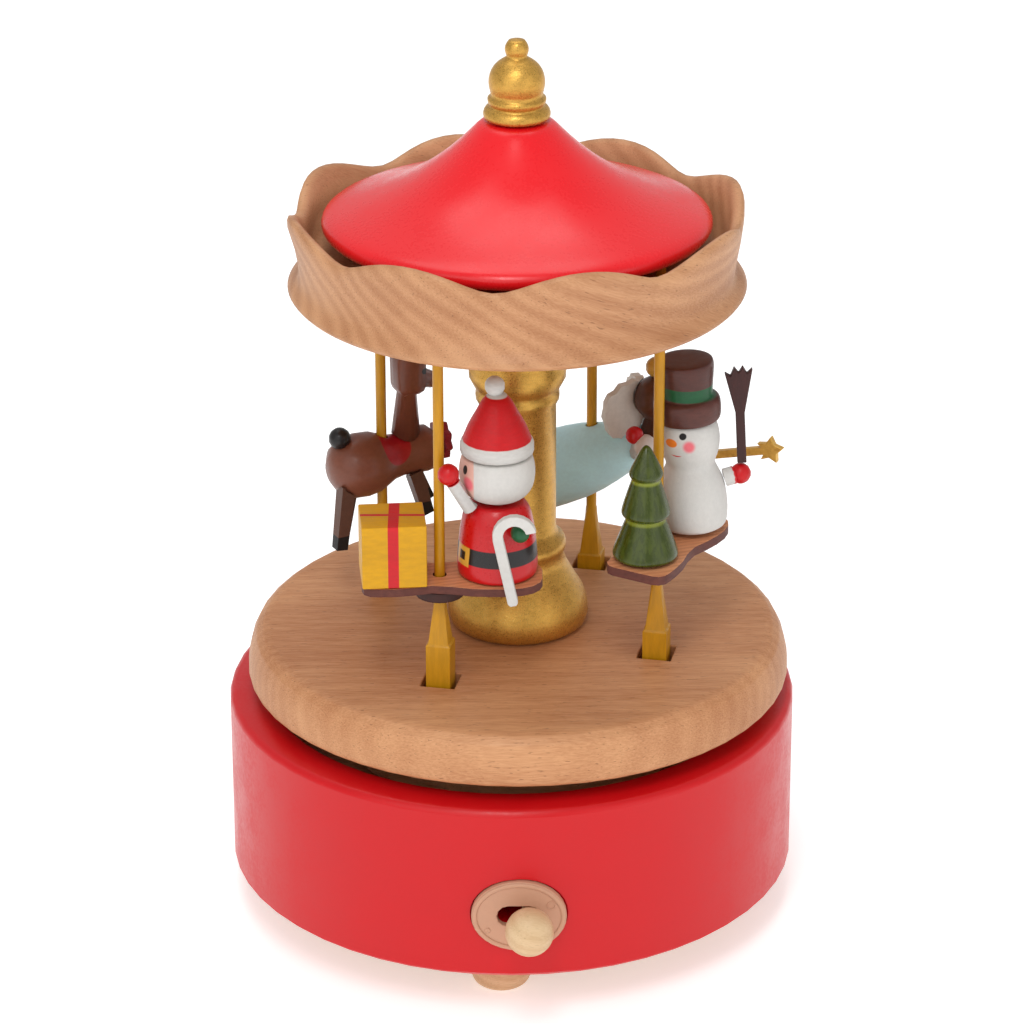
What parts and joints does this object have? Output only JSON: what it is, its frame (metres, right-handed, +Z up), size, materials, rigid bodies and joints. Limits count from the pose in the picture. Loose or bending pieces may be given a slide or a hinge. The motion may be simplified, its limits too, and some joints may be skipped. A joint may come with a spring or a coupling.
{
  "type": "carousel music box",
  "caption": "Wind-up carousel music box: turned wooden drum, turning platform with column and scalloped canopy, and riders on poles that rise and fall on a wavy cam ring.",
  "frame": {"origin": "on the turning axis, on the plane the three feet stand on", "axes": "+Z up along the turning axis; -Y is the front, where the switch is; +X is to the right when seen from the front"},
  "size_m": [0.12, 0.1318, 0.1913],
  "materials": {
    "red_paint": "satin red lacquer over turned wood",
    "beech": "clear-oiled beech",
    "plywood": "raw plywood",
    "gold_paint": "metallic gold paint over turned wood",
    "yellow_paint": "ochre yellow paint over wood",
    "white_paint": "white paint over wood",
    "brown_paint": "matt brown paint over wood",
    "dark_brown": "dark brown stained wood",
    "blue_paint": "pale blue paint over wood",
    "green_stain": "glossy green stain over wood",
    "green_paint": "green paint over wood",
    "black_paint": "black paint over wood",
    "dark_red": "dark red paint over wood",
    "beige_plastic": "beige moulded plastic",
    "steel": "brushed",
    "brass": "satin"
  },
  "bodies": {
    "base": {"base_drum": "red_paint", "deck_plate": "plywood", "bottom_cover": "plywood", "foot_1": "beech", "foot_2": "beech", "foot_3": "beech", "cam_ring": "beech", "switch_plate": "beige_plastic", "movement_frame": "steel", "music_comb": "steel"},
    "switch": {"switch_knob": "beech", "stop_lever": "steel"},
    "key": {"winding_key": "brass"},
    "cylinder": {"tune_cylinder": "brass"},
    "governor": {"governor_fan": "brass"},
    "carousel": {"platform_disc": "beech", "drive_hub": "beech", "centre_rod": "steel", "spring_barrel": "brass", "column": "gold_paint", "canopy_band": "beech", "canopy_roof": "red_paint", "finial": "gold_paint"},
    "rider_1": {"pole_1": "yellow_paint", "board_1": "brown_paint", "collar_1": "dark_brown", "gift_box": "yellow_paint", "santa_body": "red_paint", "santa_head": "white_paint", "santa_hat": "red_paint", "santa_arm": "white_paint", "santa_mitten": "green_paint", "candy_cane": "white_paint"},
    "rider_2": {"pole_2": "yellow_paint", "board_2": "brown_paint", "collar_2": "dark_brown", "tree": "green_stain", "snowman_body": "white_paint", "snowman_hat": "brown_paint", "snowman_arm": "white_paint", "broom": "dark_brown"},
    "rider_3": {"pole_3": "yellow_paint", "angel_robe": "blue_paint", "angel_head": "brown_paint", "angel_wings": "white_paint", "angel_sleeve": "white_paint", "angel_arm": "white_paint", "wand": "gold_paint"},
    "rider_4": {"pole_4": "yellow_paint", "deer_body": "brown_paint", "deer_head": "brown_paint", "deer_antlers": "dark_brown", "deer_tail": "black_paint", "deer_leg_1": "brown_paint", "deer_leg_2": "brown_paint", "deer_leg_3": "brown_paint", "deer_leg_4": "brown_paint", "deer_bow": "dark_red"}
  },
  "joints": [
    {"name": "carousel_spin", "type": "hinge", "parent": "base", "child": "carousel", "pos_m": [0, 0, 0.05], "axis": [0, 0, 1], "continuous": true},
    {"name": "pole_1_lift", "type": "slide", "parent": "carousel", "child": "rider_1", "axis": [0, 0, 1], "range_m": [-0.006, 0]},
    {"name": "pole_2_lift", "type": "slide", "parent": "carousel", "child": "rider_2", "axis": [0, 0, 1], "range_m": [-0.003, 0.003]},
    {"name": "pole_3_lift", "type": "slide", "parent": "carousel", "child": "rider_3", "axis": [0, 0, 1], "range_m": [0, 0.006]},
    {"name": "pole_4_lift", "type": "slide", "parent": "carousel", "child": "rider_4", "axis": [0, 0, 1], "range_m": [-0.003, 0.003]},
    {"name": "cylinder_spin", "type": "hinge", "parent": "base", "child": "cylinder", "pos_m": [0, 0.022, 0.0215], "axis": [1, 0, 0], "continuous": true},
    {"name": "governor_spin", "type": "hinge", "parent": "base", "child": "governor", "pos_m": [-0.0088, -0.0245, 0.02], "axis": [0, 0, 1], "continuous": true},
    {"name": "key_wind", "type": "hinge", "parent": "base", "child": "key", "pos_m": [0, 0, 0.005], "axis": [0, 0, 1], "continuous": true},
    {"name": "switch_slide", "type": "slide", "parent": "base", "child": "switch", "axis": [1, 0, 0], "range_m": [-0.0042, 0]}
  ],
  "couplings": [
    {"joint": "cylinder_spin", "follows": "carousel_spin", "ratio": 1},
    {"joint": "governor_spin", "follows": "carousel_spin", "ratio": -10}
  ]
}
